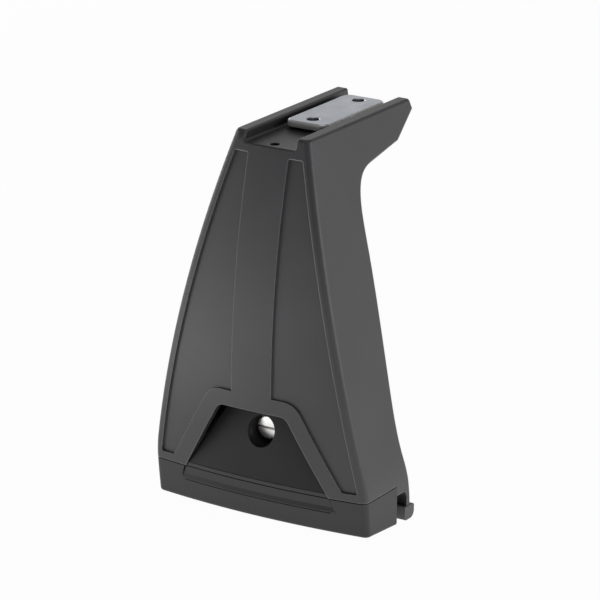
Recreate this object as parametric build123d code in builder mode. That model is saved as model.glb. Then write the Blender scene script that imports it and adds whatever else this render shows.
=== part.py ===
from build123d import *
import os
from math import sqrt

os.makedirs("parts", exist_ok=True)

# The origin is the middle of the gutter slot, level with the bottom front edge of the jaw
# X runs along the gutter, Y points in over the roof, Z is up

# Outer form: straight drafted sides, front bowed in height and crowned across
leg_height = 209.4
ground = -2.4
base_half_width = 67.6
flare_height = 26.5
flare_blend = 76.0
middle_half_width = 49.6
middle_height = 110.0
top_half_width = 23.2
base_draft = 0.02
middle_draft = 0.014
draft_datum = -35.0
front_apex = -44.6
front_apex_height = 68.3
front_bow_radius = 506.0
front_crown_radius = 420.0
form_front = -70.0
form_back = 95.0
form_below = -20.0
front_edge_radius = 3.6
outer_edge_radius = 1.8

# Back edge of the leg, seen from the side
heel_back = 8.8
heel_bottom = 5.3
knee = (3.4, 36.0)
waist = (2.5, 74.0)

# Arm, each point as its place in Y and its drop below the top
shoulder = (7.8, 62.2)
throat = (13.8, 30.8)
arm_root = (27.0, 22.8)
arm_elbow = (56.5, 17.9)
arm_tip = (76.5, 5.4)
rail_end = 75.3

# Walls, ribs and cored spaces of the leg
wall = 4.0
rear_wall = 3.0
rib = 3.0
web_bottom = 63.0
web_top = 67.0
rib_heights = (102.0, 137.0)
centre_rib_top = 150.0
rib_back = 1.2
arm_space_end = 70.0

# Channel for the bar
channel_half_width = 16.0
channel_depth = 6.0
channel_corner = 1.4
rail_edge_radius = 1.0
pad_height = 1.1
pad_inset = 2.5
floor_thickness = 5.0
peg_hole_radius = 2.7
peg_hole_back = -20.8

# Raised border, centre strip and recessed panels of the front
panel_depth = 1.2
panel_border = 5.0
panel_top_drop = 10.7
panel_bottom = 24.6
strip_half_width = 12.7
arch_border = 9.3
panel_shoulder = 70.5
panel_shoulder_radius = 12.0
panel_corner = 1.0

# Arch in the front, filled by the clamp cover
arch_foot = 22.8
arch_foot_half_width = 44.2
arch_top = 61.6
arch_top_half_width = 21.3
arch_corner = 6.0
slide_gap = 0.4

# Parting plane between the leg and the clamp jaw
parting = 19.8
parting_gap = 0.5
jaw_back = -4.6
jaw_front_bottom = 0.5
jaw_stop_gap = 0.4
slot_roof = 14.5
slot_roof_radius = 4.0
tooth_depth = 1.6
tooth_bottom = -1.2
tooth_top = 4.0

# Gutter shoe, pushed on the tongue under the rear wall
shoe_front = 3.4
shoe_back = 12.6
shoe_end_inset = 0.4
shoe_groove_bottom = 1.3
tongue_front = 4.9
shoe_toe_radius = 4.0
shoe_edge_radius = 1.2

# Clamp cover: a panel that leans to the back, on a sill of the jaw
cover_foot = -41.7
cover_lean = 0.28
cover_thickness = 2.5
cover_gap = 0.1
sill_top = 22.2
sill_setback = 0.6
sill_groove_depth = 0.6
access_hole_radius = 8.4
tool_gap = 0.4

# Upright, pockets and shallow front band of the jaw
upright_back = -12.0
upright_root = 12.0
upright_pocket_side = 12.0
upright_pocket_bottom = 24.0
upright_pocket_height = 20.0
upright_pocket_width = 14.0
upright_pocket_front = -28.0
block_pocket_width = 20.0
block_pocket_depth = 18.0
block_pocket_height = 15.0
block_pocket_corner = 3.0
block_pocket_places = (18.0, 44.0)
block_pocket_middle = -22.0
band_depth = 0.8
band_bottom = 11.4
band_top_half_width = 47.0
band_bottom_half_width = 49.4
band_corner = 2.6
band_groove = 0.6
band_groove_depth = 0.5

# Clamp bolt and its small parts
bolt_height = 47.3
bolt_radius = 4.0
bolt_head_radius = 6.6
bolt_head_height = 5.0
bolt_head_edge = 0.8
bolt_seat = -23.4
bolt_length = 25.6
bolt_slot_width = 1.2
bolt_slot_depth = 2.2
bolt_hole_radius = 4.5
thread_clearance = 0.05
bolt_end_chamfer = 0.8
washer_thickness = 1.6
washer_radius = 8.0
washer_bore = 4.35
washer_fit = 0.15
clip_front = -11.7
clip_thickness = 0.9
clip_groove_radius = 3.2
clip_radius = 6.0
clip_mouth = 4.6
nut_size = 13.0
nut_front = -7.6
nut_thickness = 6.5
nut_fit = 0.1
boss_front = -9.6
boss_half_width = 11.0
boss_bottom = 36.0

# Bar plate and its two bolts
plate_width = 26.0
plate_length = 62.0
plate_thickness = 3.9
plate_middle = 38.5
plate_corner = 5.0
plate_edge = 1.4
plate_under_edge = 0.7
plate_bolt_pitch = 45.0
tapped_radius = 3.4
tapped_chamfer = 0.4
stud_radius = 3.35
hex_size = 13.0
hex_height = 5.3
stud_end_drop = 3.0
split_washer_thickness = 2.0
split_washer_radius = 6.4
flat_washer_radius = 7.0
flat_washer_bore = 4.2
split_width = 1.2

# Values that follow from the sizes above
leg_bottom = parting + parting_gap / 2
jaw_top = parting - parting_gap / 2
shoe_length = 2 * (base_half_width - shoe_end_inset)
channel_floor = leg_height - channel_depth
panel_top = leg_height - panel_top_drop
crown_axis = front_apex + front_crown_radius
arch_lean = (arch_foot_half_width - arch_top_half_width) / (arch_top - arch_foot)
arch_slant = sqrt(1 + arch_lean**2)
arch_border_shift = arch_border * arch_slant
floor_underside = channel_floor - floor_thickness
plate_bolt_places = (plate_middle - plate_bolt_pitch / 2, plate_middle + plate_bolt_pitch / 2)
plate_bottom = channel_floor + pad_height
head_front = bolt_seat - bolt_head_height


def below_top(point):
    return (point[0], leg_height - point[1])


def arch_half_width(height):
    return arch_foot_half_width - arch_lean * (height - arch_foot)


def crowned_form(inset):
    """Solid whose outside is the bowed and crowned front, set in by the given amount."""
    bow = front_bow_radius - inset
    bow_centre = crown_axis + front_crown_radius - front_bow_radius
    top = leg_height + flare_height
    low_reach = bow_centre + sqrt(bow**2 - (form_below - front_apex_height) ** 2)
    top_reach = bow_centre + sqrt(bow**2 - (top - front_apex_height) ** 2)
    with BuildPart() as form:
        with BuildSketch(Plane.YZ):
            with BuildLine():
                ThreePointArc(
                    (low_reach, form_below),
                    (bow_centre + bow, front_apex_height),
                    (top_reach, top),
                )
                Polyline(
                    (top_reach, top),
                    (crown_axis, top),
                    (crown_axis, form_below),
                    (low_reach, form_below),
                )
            make_face()
        revolve(axis=Axis((0, crown_axis, 0), (0, 0, 1)))
    return form.part


def tapered_form(inset):
    """Solid between the two drafted sides, set in by the given amount."""
    with BuildPart() as form:
        for section in (form_front, form_back):
            reach = draft_datum - section
            base = base_half_width + base_draft * reach - inset
            middle = middle_half_width + middle_draft * reach - inset
            top = top_half_width - inset
            with BuildSketch(Plane.XZ.offset(-section)) as outline:
                with BuildLine():
                    Polyline(
                        (base, flare_height),
                        (base, form_below),
                        (-base, form_below),
                        (-base, flare_height),
                    )
                    ThreePointArc((-base, flare_height), (-middle, middle_height), (-top, leg_height))
                    Line((-top, leg_height), (top, leg_height))
                    ThreePointArc((top, leg_height), (middle, middle_height), (base, flare_height))
                make_face()
                corners = outline.vertices().filter_by_position(Axis.Y, flare_height - 1, flare_height + 1)
                fillet(corners, flare_blend)
        loft(ruled=True)
    return form.part


def leaning_form(inset):
    """Solid whose outside is the clamp cover's face, which leans back from its foot on the sill."""
    foot_reach = 2 * crown_axis - cover_foot - inset
    low_reach = foot_reach + cover_lean * (sill_top - form_below)
    top_reach = foot_reach - cover_lean * (web_top - sill_top)
    with BuildPart() as form:
        with BuildSketch(Plane.YZ):
            with BuildLine():
                Polyline(
                    (low_reach, form_below),
                    (top_reach, web_top),
                    (crown_axis, web_top),
                    (crown_axis, form_below),
                    close=True,
                )
            make_face()
        revolve(axis=Axis((0, crown_axis, 0), (0, 0, 1)))
    return form.part


def arch_prism(gap, front, back, bottom):
    """Block of the arch outline, shrunk by the gap, from front to back."""
    foot = arch_half_width(bottom) - gap * arch_slant
    top = arch_top_half_width + arch_lean * gap - gap * arch_slant
    with BuildPart() as prism:
        with BuildSketch(Plane.XZ.offset(-back)) as outline:
            with BuildLine():
                Polyline(
                    (-foot, bottom),
                    (foot, bottom),
                    (top, arch_top - gap),
                    (-top, arch_top - gap),
                    close=True,
                )
            make_face()
            fillet(outline.vertices().group_by(Axis.Y)[-1], arch_corner - gap)
        extrude(amount=back - front)
    return prism.part


# Outer shape of leg and jaw together, and the shape one wall further in
outside = crowned_form(0) & tapered_form(0)
inside = crowned_form(wall) & tapered_form(wall)

# Space for the clamp in the lower leg, open below
with BuildPart() as jaw_space:
    with BuildSketch(Plane.YZ.offset(-base_half_width)):
        with BuildLine():
            Polyline(
                (form_front, form_below),
                (heel_back - rear_wall, form_below),
                (heel_back - rear_wall, slot_roof),
                (knee[0] - rear_wall, knee[1]),
                (knee[0] - rear_wall, web_bottom),
                (form_front, web_bottom),
                close=True,
            )
        make_face()
    extrude(amount=2 * base_half_width)
    add(inside, mode=Mode.INTERSECT)

# Cored space of the upper leg and the arm, open to the back and below, with its ribs
with BuildPart() as upper_space:
    with BuildSketch(Plane.YZ.offset(-base_half_width)):
        with BuildLine():
            Polyline(
                (form_front, web_top),
                (arm_space_end, web_top),
                (arm_space_end, floor_underside),
                (form_front, floor_underside),
                close=True,
            )
        make_face()
    extrude(amount=2 * base_half_width)
    add(inside, mode=Mode.INTERSECT)
    for rib_height in rib_heights:
        with Locations((0, rib_back, rib_height)):
            Box(
                2 * base_half_width,
                rib_back - form_front,
                rib,
                align=(Align.CENTER, Align.MAX, Align.CENTER),
                mode=Mode.SUBTRACT,
            )
    with Locations((0, rib_back, web_bottom)):
        Box(
            rib,
            rib_back - form_front,
            centre_rib_top - web_bottom,
            align=(Align.CENTER, Align.MAX, Align.MIN),
            mode=Mode.SUBTRACT,
        )
    with Locations((0, plate_middle, centre_rib_top)):
        Box(
            2 * base_half_width,
            rib,
            leg_height - centre_rib_top,
            align=(Align.CENTER, Align.CENTER, Align.MIN),
            mode=Mode.SUBTRACT,
        )

# Shallow panels of the front on both sides of the centre strip
with BuildPart() as front_panels:
    with BuildSketch(Plane.XZ) as outline:
        with BuildLine():
            Polyline(
                (strip_half_width, leg_height),
                (strip_half_width, panel_shoulder),
                (arch_half_width(panel_shoulder) + arch_border_shift, panel_shoulder),
                (arch_half_width(panel_bottom) + arch_border_shift, panel_bottom),
                (base_half_width - panel_border, panel_bottom),
                (base_half_width - panel_border, flare_height),
            )
            ThreePointArc(
                (base_half_width - panel_border, flare_height),
                (middle_half_width - panel_border, middle_height),
                (top_half_width - panel_border, leg_height),
            )
            Line((top_half_width - panel_border, leg_height), (strip_half_width, leg_height))
        make_face()
        with Locations((0, panel_top)):
            Rectangle(
                2 * base_half_width,
                panel_top,
                align=(Align.CENTER, Align.MAX),
                mode=Mode.INTERSECT,
            )
        shoulder_corner = (arch_half_width(panel_shoulder) + arch_border_shift, panel_shoulder, 0)
        fillet(outline.vertices().sort_by_distance(shoulder_corner)[0], panel_shoulder_radius)
        fillet(outline.vertices().group_by(Axis.Y)[0], panel_corner)
        fillet(outline.vertices().group_by(Axis.Y)[-1], panel_corner)
        mirror(about=Plane.YZ)
    extrude(amount=-form_front)
    add(crowned_form(panel_depth), mode=Mode.SUBTRACT)

# Leg: one moulding of glass-filled nylon
with BuildPart() as leg_body:
    with BuildSketch(Plane.YZ.offset(-base_half_width - wall)) as side:
        with BuildLine():
            Polyline(
                (form_front, leg_bottom),
                (jaw_back + jaw_stop_gap, leg_bottom),
                (jaw_back + jaw_stop_gap, slot_roof),
                (heel_back - rear_wall, slot_roof),
                (heel_back - rear_wall, heel_bottom),
                (heel_back, heel_bottom),
            )
            Spline(
                (heel_back, heel_bottom),
                knee,
                waist,
                below_top(shoulder),
                below_top(throat),
                below_top(arm_root),
                tangents=((0, 1), (arm_elbow[0] - arm_root[0], arm_root[1] - arm_elbow[1])),
            )
            Polyline(
                below_top(arm_root),
                below_top(arm_elbow),
                below_top(arm_tip),
                (rail_end, leg_height),
                (rail_end, leg_height + wall),
                (form_front, leg_height + wall),
                (form_front, leg_bottom),
            )
        make_face()
        fillet(side.vertices().sort_by_distance((heel_back - rear_wall, slot_roof, 0))[0], slot_roof_radius)
    extrude(amount=2 * (base_half_width + wall))
    add(outside, mode=Mode.INTERSECT)
    rims = leg_body.edges().filter_by(lambda rim: abs(rim.center().X) > strip_half_width)
    front_rims = rims.filter_by(lambda rim: rim.center().Y < draft_datum and rim.length > panel_border)
    fillet(front_rims, front_edge_radius)
    rims = leg_body.edges().filter_by(lambda rim: abs(rim.center().X) > strip_half_width)
    top_rims = rims.filter_by(lambda rim: rim.center().Z > leg_height - panel_corner)
    fillet(top_rims, outer_edge_radius)
    add(jaw_space.part, mode=Mode.SUBTRACT)
    add(upper_space.part, mode=Mode.SUBTRACT)
    add(front_panels.part, mode=Mode.SUBTRACT)
    add(arch_prism(0, form_front, upright_pocket_front, ground), mode=Mode.SUBTRACT)
    with BuildSketch(Plane.XZ.offset(-form_back)) as channel:
        with Locations((0, channel_floor)):
            Rectangle(2 * channel_half_width, leg_height, align=(Align.CENTER, Align.MIN))
        fillet(channel.vertices().group_by(Axis.Y)[0], channel_corner)
    extrude(amount=form_back - form_front, mode=Mode.SUBTRACT)
    rail_edges = leg_body.edges().filter_by(Axis.Y).group_by(Axis.Z)[-1]
    inner_rims = rail_edges.filter_by(lambda rim: abs(rim.center().X) < top_half_width - rail_edge_radius)
    fillet(inner_rims, rail_edge_radius)
    with Locations((0, plate_middle, channel_floor - pad_height)):
        Box(
            plate_width - 2 * pad_inset,
            plate_length - 2 * pad_inset,
            2 * pad_height,
            align=(Align.CENTER, Align.CENTER, Align.MIN),
        )
    with BuildSketch(Plane.XY.offset(floor_underside - wall)):
        with Locations((0, peg_hole_back)):
            Circle(peg_hole_radius)
        for place in plate_bolt_places:
            with Locations((0, place)):
                Circle(bolt_hole_radius)
    extrude(amount=2 * floor_thickness + pad_height, mode=Mode.SUBTRACT)
    with Locations((0, boss_front, boss_bottom)):
        Box(
            2 * boss_half_width,
            knee[0] - rear_wall + rib / 2 - boss_front,
            web_bottom + rib / 2 - boss_bottom,
            align=(Align.CENTER, Align.MIN, Align.MIN),
        )
    with Locations((0, nut_front - nut_fit, bolt_height + nut_size / 2 + nut_fit)):
        Box(
            nut_size + 2 * nut_fit,
            nut_thickness + 2 * nut_fit,
            leg_height,
            align=(Align.CENTER, Align.MIN, Align.MAX),
            mode=Mode.SUBTRACT,
        )
    with BuildSketch(Plane.XZ.offset(-form_back)):
        with Locations((0, bolt_height)):
            Circle(bolt_hole_radius)
    extrude(amount=form_back - upright_back, mode=Mode.SUBTRACT)
    with Locations((0, heel_back, heel_bottom)):
        Box(
            shoe_length - 2 * shoe_edge_radius,
            heel_back - tongue_front,
            heel_bottom - shoe_groove_bottom,
            align=(Align.CENTER, Align.MAX, Align.MAX),
        )

# Gutter shoe: a rubber strip with a groove for the tongue
with BuildPart() as gutter_shoe:
    with BuildSketch(Plane.YZ.offset(-shoe_length / 2)) as profile:
        with BuildLine():
            Polyline(
                (shoe_front, ground),
                (shoe_back, ground),
                (shoe_back, heel_bottom),
                (shoe_front, heel_bottom),
                close=True,
            )
        make_face()
        fillet(profile.vertices().sort_by_distance((shoe_back, ground, 0))[0], shoe_toe_radius)
        fillet(profile.vertices().sort_by_distance((shoe_back, heel_bottom, 0))[0], shoe_edge_radius)
        fillet(profile.vertices().sort_by_distance((shoe_front, ground, 0))[0], shoe_edge_radius)
    extrude(amount=shoe_length)
    with Locations((0, heel_back, heel_bottom)):
        Box(
            shoe_length - 2 * shoe_edge_radius,
            heel_back - tongue_front,
            heel_bottom - shoe_groove_bottom,
            align=(Align.CENTER, Align.MAX, Align.MAX),
            mode=Mode.SUBTRACT,
        )

# Upright of the jaw, its front leaning to the back to carry the cover
with BuildPart() as upright:
    add(arch_prism(2 * slide_gap, form_front, upright_back, upright_root))
    add(leaning_form(cover_thickness + cover_gap), mode=Mode.INTERSECT)

# Sill of the jaw under the cover, with a groove along its foot
with BuildPart() as sill:
    add(arch_prism(slide_gap, form_front, upright_back, upright_root))
    add(crowned_form(sill_setback), mode=Mode.INTERSECT)
    with Locations((0, 0, sill_top)):
        Box(
            2 * base_half_width,
            -2 * form_front,
            web_top,
            align=(Align.CENTER, Align.CENTER, Align.MIN),
            mode=Mode.SUBTRACT,
        )
with BuildPart() as sill_groove:
    with BuildSketch(Plane.XY.offset(jaw_top)):
        Rectangle(2 * base_half_width, -2 * form_front)
    extrude(amount=parting_gap)
    add(crowned_form(sill_setback + sill_groove_depth), mode=Mode.SUBTRACT)

# Shallow band on the front of the jaw, with a groove round it
with BuildPart() as band:
    with BuildSketch(Plane.XZ) as outline:
        with BuildLine():
            Polyline(
                (-band_top_half_width, parting),
                (-band_bottom_half_width, band_bottom),
                (band_bottom_half_width, band_bottom),
                (band_top_half_width, parting),
                close=True,
            )
        make_face()
        fillet(outline.vertices().group_by(Axis.Y)[0], band_corner)
    extrude(amount=-form_front)
    add(crowned_form(band_depth), mode=Mode.SUBTRACT)
with BuildPart() as band_core:
    with BuildSketch(Plane.XZ) as outline:
        with BuildLine():
            Polyline(
                (-band_top_half_width + band_groove, parting),
                (-band_bottom_half_width + band_groove, band_bottom + band_groove),
                (band_bottom_half_width - band_groove, band_bottom + band_groove),
                (band_top_half_width - band_groove, parting),
                close=True,
            )
        make_face()
        fillet(outline.vertices().group_by(Axis.Y)[0], band_corner - band_groove)
    extrude(amount=-form_front)
with BuildPart() as band_groove_ring:
    with BuildSketch(Plane.XZ) as outline:
        with BuildLine():
            Polyline(
                (-band_top_half_width, parting),
                (-band_bottom_half_width, band_bottom),
                (band_bottom_half_width, band_bottom),
                (band_top_half_width, parting),
                close=True,
            )
        make_face()
        fillet(outline.vertices().group_by(Axis.Y)[0], band_corner)
    extrude(amount=-form_front)
    add(band_core.part, mode=Mode.SUBTRACT)
    add(crowned_form(band_depth + band_groove_depth), mode=Mode.SUBTRACT)

# Clamp jaw: one aluminium die casting
with BuildPart() as clamp_jaw:
    with BuildSketch(Plane.YZ.offset(-base_half_width - wall)):
        with BuildLine():
            Polyline(
                (front_apex, jaw_front_bottom),
                (jaw_back, ground),
                (jaw_back, jaw_top),
                (front_apex, jaw_top),
                close=True,
            )
        make_face()
    extrude(amount=2 * (base_half_width + wall))
    add(outside, mode=Mode.INTERSECT)
    corners = clamp_jaw.edges().filter_by(lambda rim: rim.center().Y < draft_datum)
    fillet(corners.filter_by(lambda rim: abs(rim.center().X) > base_half_width - wall), front_edge_radius)
    rims = clamp_jaw.edges().filter_by(lambda rim: rim.center().Y < jaw_back - wall)
    fillet(rims.filter_by(lambda rim: rim.center().Z < jaw_front_bottom + panel_corner), outer_edge_radius)
    add(band.part, mode=Mode.SUBTRACT)
    add(band_groove_ring.part, mode=Mode.SUBTRACT)
    add(sill.part)
    add(sill_groove.part, mode=Mode.SUBTRACT)
    add(upright.part)
    with Locations((0, jaw_back + tooth_depth, tooth_bottom)):
        Box(
            shoe_length - 2 * shoe_edge_radius,
            2 * tooth_depth,
            tooth_top - tooth_bottom,
            align=(Align.CENTER, Align.MAX, Align.MIN),
        )
    for side_sign in (-1, 1):
        for place in block_pocket_places:
            with BuildSketch(Plane.XY.offset(ground)):
                with Locations((side_sign * place, block_pocket_middle)):
                    RectangleRounded(block_pocket_width, block_pocket_depth, block_pocket_corner)
            extrude(amount=block_pocket_height - ground, mode=Mode.SUBTRACT)
        with Locations((side_sign * upright_pocket_side, upright_back, upright_pocket_bottom)):
            Box(
                upright_pocket_width,
                upright_back - upright_pocket_front,
                upright_pocket_height,
                align=(Align.MIN if side_sign > 0 else Align.MAX, Align.MAX, Align.MIN),
                mode=Mode.SUBTRACT,
            )
    with BuildSketch(Plane.XZ.offset(-bolt_seat - washer_thickness)):
        with Locations((0, bolt_height)):
            Circle(washer_radius + washer_fit)
    extrude(amount=washer_thickness + bolt_head_height + tool_gap, mode=Mode.SUBTRACT)
    with BuildSketch(Plane.XZ.offset(tool_gap - head_front)):
        with Locations((0, bolt_height)):
            Circle(access_hole_radius)
    extrude(amount=head_front - form_front, mode=Mode.SUBTRACT)
    with BuildSketch(Plane.XZ.offset(-form_back)):
        with Locations((0, bolt_height)):
            Circle(bolt_hole_radius)
    extrude(amount=form_back - form_front, mode=Mode.SUBTRACT)

# Clamp cover: a dark moulded panel, clipped on the upright and standing on the sill
with BuildPart() as clamp_cover:
    add(leaning_form(0))
    add(leaning_form(cover_thickness), mode=Mode.SUBTRACT)
    add(arch_prism(slide_gap, form_front, upright_back, sill_top), mode=Mode.INTERSECT)
    with BuildSketch(Plane.XZ.offset(-upright_back)):
        with Locations((0, bolt_height)):
            Circle(access_hole_radius)
    extrude(amount=upright_back - form_front, mode=Mode.SUBTRACT)

# Clamp bolt: slotted head, plain at the size of its thread
with BuildPart() as clamp_bolt:
    with BuildSketch(Plane.XZ.offset(-bolt_seat)):
        with Locations((0, bolt_height)):
            Circle(bolt_head_radius)
    extrude(amount=bolt_head_height)
    chamfer(clamp_bolt.edges().group_by(Axis.Y)[0], bolt_head_edge)
    with BuildSketch(Plane.XZ.offset(-bolt_seat)):
        with Locations((0, bolt_height)):
            Circle(bolt_radius)
    extrude(amount=-bolt_length)
    chamfer(clamp_bolt.edges().group_by(Axis.Y)[-1], bolt_end_chamfer)
    with Locations((0, head_front, bolt_height)):
        Box(
            4 * bolt_head_radius,
            2 * bolt_slot_depth,
            bolt_slot_width,
            mode=Mode.SUBTRACT,
        )
    with BuildSketch(Plane.XZ.offset(-clip_front)):
        with Locations((0, bolt_height)):
            Circle(clip_radius)
            Circle(clip_groove_radius, mode=Mode.SUBTRACT)
    extrude(amount=-clip_thickness, mode=Mode.SUBTRACT)

# Clip: an open spring-steel ring in the groove of the bolt
with BuildPart() as bolt_clip:
    with BuildSketch(Plane.XZ.offset(-clip_front)):
        with Locations((0, bolt_height)):
            Circle(clip_radius)
            Circle(clip_groove_radius, mode=Mode.SUBTRACT)
        with Locations((0, bolt_height - clip_radius)):
            Rectangle(clip_mouth, 2 * clip_radius - clip_groove_radius / 2, mode=Mode.SUBTRACT)
    extrude(amount=-clip_thickness)

# Flat washer under the clamp bolt
with BuildPart() as clamp_washer:
    with BuildSketch(Plane.XZ.offset(-bolt_seat)):
        with Locations((0, bolt_height)):
            Circle(washer_radius)
            Circle(washer_bore, mode=Mode.SUBTRACT)
    extrude(amount=-washer_thickness)

# Square nut in the boss of the leg
with BuildPart() as clamp_nut:
    with BuildSketch(Plane.XZ.offset(-nut_front)):
        with Locations((0, bolt_height)):
            Rectangle(nut_size, nut_size)
            Circle(bolt_radius + thread_clearance, mode=Mode.SUBTRACT)
    extrude(amount=-nut_thickness)

# Bar plate: zinc-plated steel with two tapped holes
with BuildPart() as bar_plate:
    with BuildSketch(Plane.XY.offset(plate_bottom)):
        with Locations((0, plate_middle)):
            RectangleRounded(plate_width, plate_length, plate_corner)
    extrude(amount=plate_thickness)
    fillet(bar_plate.edges().group_by(Axis.Z)[-1], plate_edge)
    chamfer(bar_plate.edges().group_by(Axis.Z)[0], plate_under_edge)
    with BuildSketch(Plane.XY.offset(plate_bottom)):
        for place in plate_bolt_places:
            with Locations((0, place)):
                Circle(tapped_radius)
    extrude(amount=plate_thickness, mode=Mode.SUBTRACT)
    mouths = bar_plate.edges().filter_by(GeomType.CIRCLE).group_by(Axis.Z)[-1]
    chamfer(mouths, tapped_chamfer)

# Washers and hexagon bolts that draw the plate down
head_top = floor_underside - washer_thickness - split_washer_thickness
stud_top = plate_bottom + plate_thickness - stud_end_drop


def bar_bolt(place):
    with BuildPart() as bolt:
        with BuildSketch(Plane.XY.offset(head_top - hex_height)):
            with Locations((0, place)):
                RegularPolygon(hex_size / 2, 6, major_radius=False)
        extrude(amount=hex_height)
        with BuildSketch(Plane.XY.offset(head_top)):
            with Locations((0, place)):
                Circle(stud_radius)
        extrude(amount=stud_top - head_top)
        chamfer(bolt.edges().group_by(Axis.Z)[-1], tapped_chamfer)
    return bolt.part


def split_washer(place):
    with BuildPart() as washer:
        with BuildSketch(Plane.XY.offset(head_top)):
            with Locations((0, place)):
                Circle(split_washer_radius)
                Circle(flat_washer_bore, mode=Mode.SUBTRACT)
            with Locations((split_washer_radius, place)):
                Rectangle(split_washer_radius, split_width, mode=Mode.SUBTRACT)
        extrude(amount=split_washer_thickness)
    return washer.part


with BuildPart() as flat_washers:
    with BuildSketch(Plane.XY.offset(floor_underside)):
        for place in plate_bolt_places:
            with Locations((0, place)):
                Circle(flat_washer_radius)
                Circle(flat_washer_bore, mode=Mode.SUBTRACT)
    extrude(amount=-washer_thickness)

with BuildPart() as bar_bolt_front:
    add(bar_bolt(plate_bolt_places[0]))
with BuildPart() as bar_bolt_rear:
    add(bar_bolt(plate_bolt_places[1]))
with BuildPart() as split_washer_front:
    add(split_washer(plate_bolt_places[0]))
with BuildPart() as split_washer_rear:
    add(split_washer(plate_bolt_places[1]))

leg_body.part.label = "leg_body"
gutter_shoe.part.label = "gutter_shoe"
clamp_nut.part.label = "clamp_nut"
flat_washers.part.label = "flat_washers"
clamp_jaw.part.label = "clamp_jaw"
clamp_cover.part.label = "clamp_cover"
clamp_washer.part.label = "clamp_washer"
clamp_bolt.part.label = "clamp_bolt"
bolt_clip.part.label = "bolt_clip"
bar_plate.part.label = "bar_plate"
bar_bolt_front.part.label = "bar_bolt_front"
bar_bolt_rear.part.label = "bar_bolt_rear"
split_washer_front.part.label = "split_washer_front"
split_washer_rear.part.label = "split_washer_rear"

export_step(leg_body.part, "parts/leg_body.step")
export_step(gutter_shoe.part, "parts/gutter_shoe.step")
export_step(clamp_nut.part, "parts/clamp_nut.step")
export_step(flat_washers.part, "parts/flat_washers.step")
export_step(clamp_jaw.part, "parts/clamp_jaw.step")
export_step(clamp_cover.part, "parts/clamp_cover.step")
export_step(clamp_washer.part, "parts/clamp_washer.step")
export_step(clamp_bolt.part, "parts/clamp_bolt.step")
export_step(bolt_clip.part, "parts/bolt_clip.step")
export_step(bar_plate.part, "parts/bar_plate.step")
export_step(bar_bolt_front.part, "parts/bar_bolt_front.step")
export_step(bar_bolt_rear.part, "parts/bar_bolt_rear.step")
export_step(split_washer_front.part, "parts/split_washer_front.step")
export_step(split_washer_rear.part, "parts/split_washer_rear.step")
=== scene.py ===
from math import cos, pi, radians, sin, sqrt

import bpy
import bmesh
from mathutils import Matrix, Vector


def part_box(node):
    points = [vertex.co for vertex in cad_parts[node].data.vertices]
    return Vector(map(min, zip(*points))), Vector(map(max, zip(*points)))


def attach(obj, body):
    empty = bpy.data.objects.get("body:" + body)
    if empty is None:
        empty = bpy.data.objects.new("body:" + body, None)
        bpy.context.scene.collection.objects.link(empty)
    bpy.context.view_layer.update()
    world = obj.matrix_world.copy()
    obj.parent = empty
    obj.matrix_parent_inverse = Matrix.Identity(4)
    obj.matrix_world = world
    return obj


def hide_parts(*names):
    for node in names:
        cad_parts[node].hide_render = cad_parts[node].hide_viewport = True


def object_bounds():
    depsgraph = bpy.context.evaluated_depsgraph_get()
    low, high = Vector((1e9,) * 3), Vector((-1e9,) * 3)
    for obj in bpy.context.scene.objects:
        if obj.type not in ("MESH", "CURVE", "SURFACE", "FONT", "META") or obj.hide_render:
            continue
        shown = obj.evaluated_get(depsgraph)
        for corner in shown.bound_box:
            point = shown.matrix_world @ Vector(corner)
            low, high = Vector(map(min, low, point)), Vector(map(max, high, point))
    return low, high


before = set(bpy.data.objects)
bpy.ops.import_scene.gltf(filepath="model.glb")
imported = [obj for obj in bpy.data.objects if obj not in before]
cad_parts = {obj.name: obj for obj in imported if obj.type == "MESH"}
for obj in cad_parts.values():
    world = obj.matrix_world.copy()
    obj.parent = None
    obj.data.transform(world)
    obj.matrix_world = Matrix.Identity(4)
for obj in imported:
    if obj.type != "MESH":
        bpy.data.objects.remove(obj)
cad_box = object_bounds()


# Leg: the tall moulding that carries the bar, black glass-filled nylon from one mould.
# A spark-eroded tool gives it an even satin grain. Arch, panels, channel, arm and the
# cored back are all part of it; painted shade darkens its hollows and thin pale highlights are painted along
# its edges.
def linear(hex_colour):
    """sRGB hex to linear red, green, blue and alpha."""
    parts = [int(hex_colour[place:place + 2], 16) / 255 for place in (1, 3, 5)]
    return [c / 12.92 if c <= 0.04045 else ((c + 0.055) / 1.055) ** 2.4 for c in parts] + [1.0]


def add_node(owner, kind, settings=None, links=None):
    """One shader node with its properties or sockets set and its inputs linked.

    Sockets go by their names, or by their numbers where two have the same name.
    """
    node = owner.node_tree.nodes.new("ShaderNode" + kind)
    for key, value in (settings or {}).items():
        if isinstance(key, str) and hasattr(node, key):
            setattr(node, key, value)
        else:
            node.inputs[key].default_value = value
    for key, source in (links or {}).items():
        owner.node_tree.links.new(source, node.inputs[key])
    return node


def new_material(name):
    """A material with no nodes in it yet."""
    material = bpy.data.materials.new(name)
    material.use_nodes = True
    material.node_tree.nodes.clear()
    return material


def dress(material, *node_names):
    """Gives CAD nodes one material."""
    for node_name in node_names:
        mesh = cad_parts[node_name].data
        mesh.materials.clear()
        mesh.materials.append(material)


# Painted shade darkens the colour in hollows, and a painted highlight makes it paler on sharp edges.
# Looking into the solid, the reading is 1 on a flat face and falls towards a sharp edge.
hollow_reach = 0.012
edge_reach = 0.0012
edge_begins = 0.76
edge_full = 0.42


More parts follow.
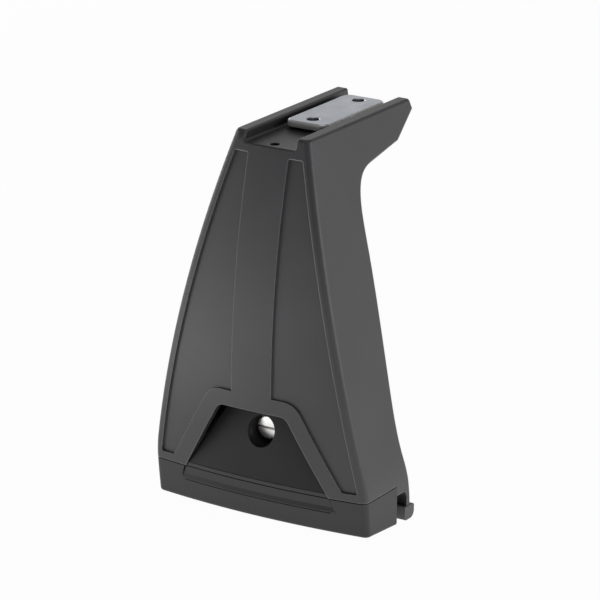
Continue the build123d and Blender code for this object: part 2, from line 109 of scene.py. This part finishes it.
def shade_and_highlight(material, tone, shade_share, highlight_share, highlight_colour):
    """A tone with painted shade in its hollows and painted pale highlights on its edges."""
    # Painted shade: the occlusion reading is multiplied into the colour in hollows
    hollow_shade = add_node(material, "AmbientOcclusion", {"samples": 8, "Distance": hollow_reach})
    shaded = add_node(
        material,
        "MixRGB",
        {"blend_type": "MULTIPLY", "Fac": shade_share},
        {"Color1": tone.outputs["Color"], "Color2": hollow_shade.outputs["Color"]},
    )
    # Painted highlight: sharp edges, found by looking into the solid, are mixed towards a pale colour
    edges = add_node(material, "AmbientOcclusion", {"inside": True, "samples": 8, "Distance": edge_reach})
    edge_highlight = add_node(
        material,
        "MapRange",
        {"From Min": edge_begins, "From Max": edge_full, "To Min": 0.0, "To Max": highlight_share},
        {"Value": edges.outputs["AO"]},
    )
    return add_node(
        material,
        "MixRGB",
        {"Color2": linear(highlight_colour)},
        {"Fac": edge_highlight.outputs["Result"], "Color1": shaded.outputs["Color"]},
    )


# Satin nylon: the eroded grain is about 0.1 mm, drawn at 0.7 mm so that it shows.
# The melt leaves faint clouds about 35 mm wide where it flowed.
nylon_grain = 0.0007
melt_cloud = 0.035
small_corner = 0.0007
nylon = new_material("satin_glass_filled_nylon")
here = add_node(nylon, "TexCoord").outputs["Object"]
flow = add_node(nylon, "TexNoise", {"Scale": 1 / melt_cloud, "Detail": 3.0}, {"Vector": here})
grain = add_node(nylon, "TexNoise", {"Scale": 1 / nylon_grain, "Detail": 2.0}, {"Vector": here})
tone = add_node(nylon, "ValToRGB", {}, {"Fac": flow.outputs["Fac"]})
tone.color_ramp.elements[0].position = 0.30
tone.color_ramp.elements[0].color = linear("#2f2e31")
tone.color_ramp.elements[1].position = 0.70
tone.color_ramp.elements[1].color = linear("#353437")
# Painted shade in the leg's hollows and painted pale highlights on its edges
colour = shade_and_highlight(nylon, tone, shade_share=0.4, highlight_share=0.85, highlight_colour="#7a7a7c")
satin = add_node(
    nylon,
    "MapRange",
    {"From Min": 0.3, "From Max": 0.7, "To Min": 0.40, "To Max": 0.50},
    {"Value": grain.outputs["Fac"]},
)
rounded = add_node(nylon, "Bevel", {"samples": 8, "Radius": small_corner})
relief = add_node(
    nylon,
    "Bump",
    {"Strength": 0.12, "Distance": 0.00005},
    {"Height": grain.outputs["Fac"], "Normal": rounded.outputs["Normal"]},
)
shader = add_node(
    nylon,
    "BsdfPrincipled",
    {"IOR": 1.53, "Specular IOR Level": 0.58},
    {
        "Base Color": colour.outputs["Color"],
        "Roughness": satin.outputs["Result"],
        "Normal": relief.outputs["Normal"],
    },
)
add_node(nylon, "OutputMaterial", {}, {"Surface": shader.outputs["BSDF"]})
dress(nylon, "leg_body")

# Gutter shoe: a strip of black EPDM rubber, pushed on the tongue under the rear wall.
# Rubber is dull and takes up a little grey dust. Its grain of about 0.2 mm is drawn at 0.9 mm.
rubber_grain = 0.0009
rubber = new_material("matt_epdm_rubber")
here = add_node(rubber, "TexCoord").outputs["Object"]
dust = add_node(rubber, "TexNoise", {"Scale": 1 / rubber_grain, "Detail": 4.0}, {"Vector": here})
tone = add_node(rubber, "ValToRGB", {}, {"Fac": dust.outputs["Fac"]})
tone.color_ramp.elements[0].color = linear("#525252")
tone.color_ramp.elements[1].color = linear("#646463")
relief = add_node(rubber, "Bump", {"Strength": 0.25, "Distance": 0.00008}, {"Height": dust.outputs["Fac"]})
shader = add_node(
    rubber,
    "BsdfPrincipled",
    {"IOR": 1.5, "Roughness": 0.72},
    {"Base Color": tone.outputs["Color"], "Normal": relief.outputs["Normal"]},
)
add_node(rubber, "OutputMaterial", {}, {"Surface": shader.outputs["BSDF"]})
dress(rubber, "gutter_shoe")

# Clamp jaw: an aluminium die casting with a black powder coat, which slides in the leg.
# The coat flows to a soft orange peel, 1 to 2 mm across, and is a shade darker than the nylon.
peel_size = 0.0016
coat_cloud = 0.035
coat = new_material("black_powder_coat")
here = add_node(coat, "TexCoord").outputs["Object"]
peel = add_node(coat, "TexNoise", {"Scale": 1 / peel_size, "Detail": 1.5}, {"Vector": here})
patch = add_node(coat, "TexNoise", {"Scale": 1 / coat_cloud, "Detail": 3.0}, {"Vector": here})
tone = add_node(coat, "ValToRGB", {}, {"Fac": patch.outputs["Fac"]})
tone.color_ramp.elements[0].position = 0.30
tone.color_ramp.elements[0].color = linear("#2a292b")
tone.color_ramp.elements[1].position = 0.70
tone.color_ramp.elements[1].color = linear("#2f2e30")
# Painted shade in the jaw's hollows and painted pale highlights on its edges
colour = shade_and_highlight(coat, tone, shade_share=0.85, highlight_share=0.4, highlight_colour="#555557")
rounded = add_node(coat, "Bevel", {"samples": 8, "Radius": small_corner})
relief = add_node(
    coat,
    "Bump",
    {"Strength": 0.10, "Distance": 0.00006},
    {"Height": peel.outputs["Fac"], "Normal": rounded.outputs["Normal"]},
)
shader = add_node(
    coat,
    "BsdfPrincipled",
    {"IOR": 1.5, "Roughness": 0.48},
    {"Base Color": colour.outputs["Color"], "Normal": relief.outputs["Normal"]},
)
add_node(coat, "OutputMaterial", {}, {"Surface": shader.outputs["BSDF"]})
dress(coat, "clamp_jaw")

# Clamp cover: a moulded panel of black ABS in the arch, which lies on the jaw's upright.
# It shines less than the leg. Painted shade darkens its colour in hollows, most of all deep under the
# arch and in the access hole. The grain of its mould is about 0.1 mm, drawn at 0.8 mm.
cover_grain = 0.0008
arch_reach = 0.02
smooth_abs = new_material("smooth_black_abs")
here = add_node(smooth_abs, "TexCoord").outputs["Object"]
grain = add_node(smooth_abs, "TexNoise", {"Scale": 1 / cover_grain, "Detail": 2.0}, {"Vector": here})
haze = add_node(smooth_abs, "TexNoise", {"Scale": 1 / melt_cloud, "Detail": 2.0}, {"Vector": here})
tone = add_node(smooth_abs, "ValToRGB", {}, {"Fac": haze.outputs["Fac"]})
tone.color_ramp.elements[0].color = linear("#353536")
tone.color_ramp.elements[1].color = linear("#3c3c3d")
# Painted shade: the occlusion reading is multiplied fully into the cover's colour
hollow_shade = add_node(smooth_abs, "AmbientOcclusion", {"samples": 8, "Distance": arch_reach})
shaded = add_node(
    smooth_abs,
    "MixRGB",
    {"blend_type": "MULTIPLY", "Fac": 1.0},
    {"Color1": tone.outputs["Color"], "Color2": hollow_shade.outputs["Color"]},
)
rounded = add_node(smooth_abs, "Bevel", {"samples": 8, "Radius": small_corner})
relief = add_node(
    smooth_abs,
    "Bump",
    {"Strength": 0.08, "Distance": 0.00004},
    {"Height": grain.outputs["Fac"], "Normal": rounded.outputs["Normal"]},
)
shader = add_node(
    smooth_abs,
    "BsdfPrincipled",
    {"IOR": 1.52, "Roughness": 0.42, "Specular IOR Level": 0.22},
    {"Base Color": shaded.outputs["Color"], "Normal": relief.outputs["Normal"]},
)
add_node(smooth_abs, "OutputMaterial", {}, {"Surface": shader.outputs["BSDF"]})
dress(smooth_abs, "clamp_cover")

# Clamp bolt with its washer, clip and nut: steel parts, turned or pressed and then zinc plated.
# The bolt is held in the jaw between head and clip and draws it in by the nut in the leg.
# Plating shines white and a little milky. Its grain of about 0.1 mm is drawn at 1.2 mm.
zinc_grain = 0.0012
zinc_cloud = 0.012
zinc_corner = 0.0003
zinc = new_material("bright_zinc_plate")
here = add_node(zinc, "TexCoord").outputs["Object"]
grain = add_node(zinc, "TexNoise", {"Scale": 1 / zinc_grain, "Detail": 4.0}, {"Vector": here})
cloud = add_node(zinc, "TexNoise", {"Scale": 1 / zinc_cloud, "Detail": 3.0}, {"Vector": here})
tone = add_node(zinc, "ValToRGB", {}, {"Fac": cloud.outputs["Fac"]})
tone.color_ramp.elements[0].position = 0.30
tone.color_ramp.elements[0].color = linear("#e4e3e0")
tone.color_ramp.elements[1].position = 0.70
tone.color_ramp.elements[1].color = linear("#eeedea")
dull = add_node(
    zinc,
    "MapRange",
    {"From Min": 0.3, "From Max": 0.7, "To Min": 0.28, "To Max": 0.35},
    {"Value": grain.outputs["Fac"]},
)
rounded = add_node(zinc, "Bevel", {"samples": 6, "Radius": zinc_corner})
shader = add_node(
    zinc,
    "BsdfPrincipled",
    {"Metallic": 1.0},
    {
        "Base Color": tone.outputs["Color"],
        "Roughness": dull.outputs["Result"],
        "Normal": rounded.outputs["Normal"],
    },
)
add_node(zinc, "OutputMaterial", {}, {"Surface": shader.outputs["BSDF"]})
dress(zinc, "clamp_nut", "clamp_washer", "bolt_clip")

# M8 thread, with each turn swept in equal steps
thread_pitch = 0.00125
thread_depth = 0.0006
thread_steps = 32
weld = 0.000005
crease = radians(32)


def all_of(mesh):
    """Every part of a mesh, for an operator that works on all of it."""
    return mesh.verts[:] + mesh.edges[:] + mesh.faces[:]


def close_holes(mesh):
    """Puts a face in each open loop."""
    bmesh.ops.holes_fill(mesh, edges=[edge for edge in mesh.edges if edge.is_boundary])


def add_rod(mesh, radius, start, end):
    """A plain round rod along Z."""
    place = Matrix.Translation((0, 0, (start + end) / 2))
    bmesh.ops.create_cone(
        mesh, cap_ends=True, segments=64, radius1=radius, radius2=radius, depth=end - start, matrix=place
    )


def add_thread(mesh, radius, start, end):
    """A threaded rod along Z: one V is swept as a helix, then both ends are cut square."""
    thread = bmesh.new()
    low = start - thread_pitch
    crest = thread.verts.new((radius, 0, low))
    root = thread.verts.new((radius - thread_depth, 0, low + thread_pitch / 2))
    next_crest = thread.verts.new((radius, 0, low + thread_pitch))
    thread.edges.new((crest, root))
    thread.edges.new((root, next_crest))
    turns = int((end - start) / thread_pitch) + 3
    bmesh.ops.spin(
        thread,
        geom=all_of(thread),
        cent=(0, 0, 0),
        axis=(0, 0, 1),
        dvec=(0, 0, thread_pitch / thread_steps),
        angle=turns * 2 * pi,
        steps=turns * thread_steps,
    )
    bmesh.ops.remove_doubles(thread, verts=thread.verts, dist=weld)
    for height, outward in ((start, -1), (end, 1)):
        bmesh.ops.bisect_plane(
            thread, geom=all_of(thread), plane_co=(0, 0, height), plane_no=(0, 0, outward), clear_outer=True
        )
    close_holes(thread)
    swept = bpy.data.meshes.new("thread")
    thread.to_mesh(swept)
    thread.free()
    mesh.from_mesh(swept)
    bpy.data.meshes.remove(swept)


def new_piece(mesh, node_name, body, material):
    """Puts a finished mesh on its body, in place of the CAD node."""
    bmesh.ops.recalc_face_normals(mesh, faces=mesh.faces)
    data = bpy.data.meshes.new(node_name + "_detail")
    mesh.to_mesh(data)
    mesh.free()
    data.materials.append(material)
    data.shade_smooth()
    data.set_sharp_from_angle(angle=crease)
    piece = bpy.data.objects.new(node_name + "_detail", data)
    bpy.context.scene.collection.objects.link(piece)
    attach(piece, body)
    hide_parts(node_name)


# The bolt itself: its head is parted by the driver's slot, and the thread begins behind the clip
slot_width = 0.0012
slot_depth = 0.0022
head_height = 0.0050
head_edge = 0.0006
shank_radius = 0.0040
groove_radius = 0.0032
bolt_low, bolt_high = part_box("clamp_bolt")
clip_low, clip_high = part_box("bolt_clip")
seat = bolt_low.y + head_height
head_radius = (bolt_high.x - bolt_low.x) / 2
bolt = bmesh.new()
slot_floor = Matrix.Translation((0, 0, slot_depth - head_height))
bmesh.ops.create_circle(bolt, cap_ends=True, segments=96, radius=head_radius, matrix=slot_floor)
for side in (-1, 1):
    bmesh.ops.bisect_plane(
        bolt, geom=all_of(bolt), plane_co=(0, side * slot_width / 2, 0), plane_no=(0, side, 0)
    )
flat_faces = sorted(bolt.faces, key=lambda face: face.calc_center_median().y)
raised = bmesh.ops.extrude_discrete_faces(bolt, faces=[flat_faces[0], flat_faces[-1]])["faces"]
for face in raised:
    bmesh.ops.translate(bolt, verts=face.verts, vec=(0, 0, -slot_depth))
top_rims = {edge for face in raised for edge in face.edges if edge.calc_length() < head_radius}
bmesh.ops.bevel(
    bolt,
    geom=list(top_rims),
    offset=head_edge,
    offset_type="OFFSET",
    affect="EDGES",
    segments=3,
    profile=0.5,
    material=-1,
)
rim = [edge for edge in bolt.edges if edge.is_boundary]
wall = bmesh.ops.extrude_edge_only(bolt, edges=rim)["geom"]
bmesh.ops.translate(
    bolt,
    verts=[vert for vert in wall if isinstance(vert, bmesh.types.BMVert)],
    vec=(0, 0, head_height - slot_depth),
)
close_holes(bolt)
add_rod(bolt, shank_radius, 0, clip_low.y - seat)
add_rod(bolt, groove_radius, clip_low.y - seat, clip_high.y - seat)
add_thread(bolt, shank_radius, clip_high.y - seat, bolt_high.y - seat)
lying = Matrix.Translation((0, seat, (bolt_low.z + bolt_high.z) / 2)) @ Matrix.Rotation(-pi / 2, 4, "X")
bmesh.ops.transform(bolt, matrix=lying, verts=bolt.verts)
new_piece(bolt, "clamp_bolt", "clamp_screw", zinc)

# Bar plate: a strip of rolled steel, drilled, tapped and zinc plated, in the bar's channel.
# It keeps the faint lines of the rolling mill along its length, about 0.1 mm apart and drawn
# at 0.5 mm so that they show. Its rounded rim is painted near white and less metallic, as a painted
# highlight.
mill_line = 0.0005
mill_length = 0.040
plate_steel = new_material("rolled_zinc_plated_steel")
here = add_node(plate_steel, "TexCoord").outputs["Object"]
along = add_node(
    plate_steel,
    "Mapping",
    {"Scale": (1 / mill_line, 1 / mill_length, 1 / mill_line)},
    {"Vector": here},
)
lines = add_node(plate_steel, "TexNoise", {"Scale": 1.0, "Detail": 3.0}, {"Vector": along.outputs["Vector"]})
cloud = add_node(plate_steel, "TexNoise", {"Scale": 1 / zinc_cloud, "Detail": 3.0}, {"Vector": here})
tone = add_node(plate_steel, "ValToRGB", {}, {"Fac": cloud.outputs["Fac"]})
tone.color_ramp.elements[0].position = 0.30
tone.color_ramp.elements[0].color = linear("#999da4")
tone.color_ramp.elements[1].position = 0.70
tone.color_ramp.elements[1].color = linear("#a8acb3")
# How near a point is to the rim: its distance from the inner box of the four corner radii
plate_corner = 0.005
# Where the painted rim highlight begins, inside the corner radius
rim_highlight_begins = 0.0036
plate_low, plate_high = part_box("bar_plate")
inner_box = (plate_high - plate_low) / 2 - Vector((plate_corner, plate_corner, 0))
centred = add_node(plate_steel, "Mapping", {"Location": -(plate_low + plate_high) / 2}, {"Vector": here})
quarter = add_node(plate_steel, "VectorMath", {"operation": "ABSOLUTE"}, {0: centred.outputs["Vector"]})
past_box = add_node(
    plate_steel, "VectorMath", {"operation": "SUBTRACT", 1: inner_box}, {0: quarter.outputs["Vector"]}
)
outside = add_node(
    plate_steel, "VectorMath", {"operation": "MAXIMUM", 1: (0, 0, 0)}, {0: past_box.outputs["Vector"]}
)
near_rim = add_node(plate_steel, "VectorMath", {"operation": "LENGTH"}, {0: outside.outputs["Vector"]})
# Painted highlight: towards the rim the colour goes near white and the metal turns to a pale diffuse
rim_highlight = add_node(
    plate_steel,
    "MapRange",
    {"From Min": rim_highlight_begins, "From Max": plate_corner, "To Min": 0.0, "To Max": 1.0},
    {"Value": near_rim.outputs["Value"]},
)
colour = add_node(
    plate_steel,
    "MixRGB",
    {"Color2": linear("#f2f2ef")},
    {"Fac": rim_highlight.outputs["Result"], "Color1": tone.outputs["Color"]},
)
metal = add_node(
    plate_steel, "MapRange", {"To Min": 1.0, "To Max": 0.1}, {"Value": rim_highlight.outputs["Result"]}
)
dull = add_node(
    plate_steel,
    "MapRange",
    {"From Min": 0.3, "From Max": 0.7, "To Min": 0.26, "To Max": 0.36},
    {"Value": lines.outputs["Fac"]},
)
relief = add_node(
    plate_steel,
    "Bump",
    {"Strength": 0.10, "Distance": 0.00002},
    {"Height": lines.outputs["Fac"]},
)
shader = add_node(
    plate_steel,
    "BsdfPrincipled",
    {},
    {
        "Base Color": colour.outputs["Color"],
        "Metallic": metal.outputs["Result"],
        "Roughness": dull.outputs["Result"],
        "Normal": relief.outputs["Normal"],
    },
)
add_node(plate_steel, "OutputMaterial", {}, {"Surface": shader.outputs["BSDF"]})
dress(plate_steel, "bar_plate")

# Bolts under the plate: two hexagon bolts, each with a spring washer and a flat washer.
# They come from below through the channel floor and have the same bright zinc. The heads are
# turned to a cone at their corners, and the spring washers are cut rings wound as a helix.
dress(zinc, "flat_washers")
hex_height = 0.0053
# The stud has the tapping size, so that it fits the plate's plain holes
stud_radius = 0.00335
head_chamfer = radians(30)
chamfer_cuts = 36
washer_inner = 0.0042
washer_rise = 0.0003
washer_cut = radians(11)
washer_steps = 70
for end in ("front", "rear"):
    bolt_low, bolt_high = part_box("bar_bolt_" + end)
    middle = (bolt_low + bolt_high) / 2
    across_flats = bolt_high.y - bolt_low.y
    hexagon = bmesh.new()
    bmesh.ops.create_circle(
        hexagon,
        cap_ends=True,
        segments=6,
        radius=across_flats / sqrt(3),
        matrix=Matrix.Rotation(pi / 2, 4, "Z"),
    )
    walls_made = bmesh.ops.extrude_edge_only(hexagon, edges=hexagon.edges[:])["geom"]
    bmesh.ops.translate(
        hexagon,
        verts=[vert for vert in walls_made if isinstance(vert, bmesh.types.BMVert)],
        vec=(0, 0, -hex_height),
    )
    close_holes(hexagon)
    for cut in range(chamfer_cuts):
        turn = 2 * pi * cut / chamfer_cuts
        outward = Vector((cos(turn) * sin(head_chamfer), sin(turn) * sin(head_chamfer), -cos(head_chamfer)))
        touch = Vector((cos(turn) * across_flats / 2, sin(turn) * across_flats / 2, -hex_height))
        bmesh.ops.bisect_plane(
            hexagon, geom=all_of(hexagon), plane_co=touch, plane_no=outward, clear_outer=True
        )
        close_holes(hexagon)
    add_thread(hexagon, stud_radius, 0, bolt_high.z - bolt_low.z - hex_height)
    standing = Vector((middle.x, middle.y, bolt_low.z + hex_height))
    bmesh.ops.translate(hexagon, verts=hexagon.verts, vec=standing)
    new_piece(hexagon, "bar_bolt_" + end, end + "_bolt", zinc)

    washer_low, washer_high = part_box("split_washer_" + end)
    washer_outer = (washer_high.y - washer_low.y) / 2
    thickness = washer_high.z - washer_low.z - washer_rise
    ring = bmesh.new()
    bmesh.ops.create_grid(
        ring, x_segments=1, y_segments=1, size=0.5, matrix=Matrix.Rotation(pi / 2, 4, "X")
    )
    bmesh.ops.scale(ring, verts=ring.verts, vec=(washer_outer - washer_inner, 1, thickness))
    bmesh.ops.translate(ring, verts=ring.verts, vec=((washer_outer + washer_inner) / 2, 0, thickness / 2))
    bmesh.ops.delete(ring, geom=ring.faces[:], context="FACES_ONLY")
    bmesh.ops.rotate(
        ring, verts=ring.verts, cent=(0, 0, 0), matrix=Matrix.Rotation(washer_cut / 2, 3, "Z")
    )
    bmesh.ops.spin(
        ring,
        geom=all_of(ring),
        cent=(0, 0, 0),
        axis=(0, 0, 1),
        dvec=(0, 0, washer_rise / washer_steps),
        angle=2 * pi - washer_cut,
        steps=washer_steps,
    )
    bmesh.ops.remove_doubles(ring, verts=ring.verts, dist=weld)
    close_holes(ring)
    bmesh.ops.translate(ring, verts=ring.verts, vec=(middle.x, middle.y, washer_low.z))
    new_piece(ring, "split_washer_" + end, end + "_bolt", zinc)

# Floor: a wide light table under the foot. It glows nearly white for every ray, so light comes
# up from it on the foot, and the small share that doesn't glow takes only a faint shadow.
floor_radius = 5.0
floor_white = 0.97
floor_mesh = bmesh.new()
bmesh.ops.create_circle(
    floor_mesh,
    cap_ends=True,
    radius=floor_radius,
    segments=96,
    matrix=Matrix.Translation((0, 0, cad_box[0][2])),
)
floor_data = bpy.data.meshes.new("floor")
floor_mesh.to_mesh(floor_data)
floor_mesh.free()
floor = bpy.data.objects.new("floor", floor_data)
bpy.context.scene.collection.objects.link(floor)
light_table = new_material("white_light_table")
matt = add_node(light_table, "BsdfDiffuse", {"Color": linear("#f4f4f4")})
glow = add_node(light_table, "Emission", {"Color": linear("#ffffff"), "Strength": 1.0})
mixed = add_node(light_table, "MixShader", {"Fac": floor_white}, {1: matt.outputs[0], 2: glow.outputs[0]})
add_node(light_table, "OutputMaterial", {}, {"Surface": mixed.outputs[0]})
floor_data.materials.append(light_table)

# Studio: a lit white backdrop behind the foot, a room that fades to a dim ceiling, and soft boxes.
# The camera sees plain white, reflections see the fading walls, and the rest is the fill light.
# A panel lying on the floor at the left front gives the lower left of the leg its soft sheen.
fill_light = 0.16
ceiling = 0.09
# The way from the foot to the camera. The walls are lit highest up on the far side of the foot
away = Vector((0.51851, -0.79540, 0.31383))
world = bpy.data.worlds.new("studio_walls")
world.use_nodes = True
world.node_tree.nodes.clear()
direction = add_node(world, "TexCoord")
height = add_node(world, "SeparateXYZ", {}, {"Vector": direction.outputs["Generated"]})
behind = add_node(
    world, "VectorMath", {"operation": "DOT_PRODUCT", 1: -away}, {0: direction.outputs["Generated"]}
)
wall_top = add_node(
    world,
    "MapRange",
    {"From Min": -0.4, "From Max": 0.6, "To Min": 0.15, "To Max": 1.1},
    {"Value": behind.outputs["Value"]},
)
faded = add_node(
    world, "Math", {"operation": "DIVIDE"}, {0: height.outputs["Z"], 1: wall_top.outputs["Result"]}
)
walls = add_node(
    world,
    "MapRange",
    {"From Min": -0.1, "From Max": 1.0, "To Min": 1.0, "To Max": ceiling},
    {"Value": faded.outputs[0]},
)
paths = add_node(world, "LightPath")
mirrored = add_node(
    world,
    "Math",
    {"operation": "MAXIMUM"},
    {0: paths.outputs["Is Glossy Ray"], 1: paths.outputs["Is Transmission Ray"]},
)
share = add_node(world, "MapRange", {"To Min": fill_light, "To Max": 1.0}, {"Value": mirrored.outputs[0]})
strength = add_node(
    world, "Math", {"operation": "MULTIPLY"}, {0: walls.outputs["Result"], 1: share.outputs["Result"]}
)
level = add_node(
    world, "Math", {"operation": "MAXIMUM"}, {0: strength.outputs[0], 1: paths.outputs["Is Camera Ray"]}
)
surround = add_node(world, "Background", {"Color": linear("#ffffff")}, {"Strength": level.outputs[0]})
add_node(world, "OutputWorld", {}, {"Surface": surround.outputs[0]})
bpy.context.scene.world = world

# Each lamp's place, the point it faces, its width and its power in watts
foot_middle = (0.0, 0.0, 0.1)
for name, spot, lit_point, width, power in (
    ("soft_box_left", (-1.8, -0.7, 0.15), foot_middle, 1.0, 5.0),
    ("soft_box_right", (1.7, 0.3, 0.25), foot_middle, 1.2, 14.0),
    ("soft_box_front", (1.2, -1.5, 0.1), foot_middle, 0.8, 3.0),
    ("soft_box_back", (-0.7, 1.6, 1.1), foot_middle, 1.2, 0.9),
    ("soft_box_left_rear", (-1.6, 1.0, 0.2), foot_middle, 1.0, 20.0),
    ("soft_box_top", (0.0, 0.0, 1.9), foot_middle, 1.6, 6.0),
    ("panel_on_floor", (-0.36, -0.34, 0.0), (-0.36, -0.34, 1.0), 0.4, 1.0),
):
    box_data = bpy.data.lights.new(name, "AREA")
    box_data.shape = "SQUARE"
    box_data.size = width
    box_data.energy = power
    soft_box = bpy.data.objects.new(name, box_data)
    soft_box.location = spot
    soft_box.rotation_mode = "QUATERNION"
    soft_box.rotation_quaternion = (Vector(spot) - Vector(lit_point)).to_track_quat("Z", "Y")
    bpy.context.scene.collection.objects.link(soft_box)

# Camera: a long lens from the front right and above, held level.
# Its place was worked out from the corners of the channel, the base and the holes.
aim = Vector((0.014261, -0.018606, 0.119185))
distance = 2.12053
camera_data = bpy.data.cameras.new("camera")
camera_data.lens = 240.0
camera_data.sensor_width = 36.0
camera = bpy.data.objects.new("camera", camera_data)
camera.location = aim + distance * away
camera.rotation_mode = "QUATERNION"
camera.rotation_quaternion = away.to_track_quat("Z", "Y")
bpy.context.scene.collection.objects.link(camera)
bpy.context.scene.camera = camera
bpy.context.scene.view_settings.view_transform = "Standard"
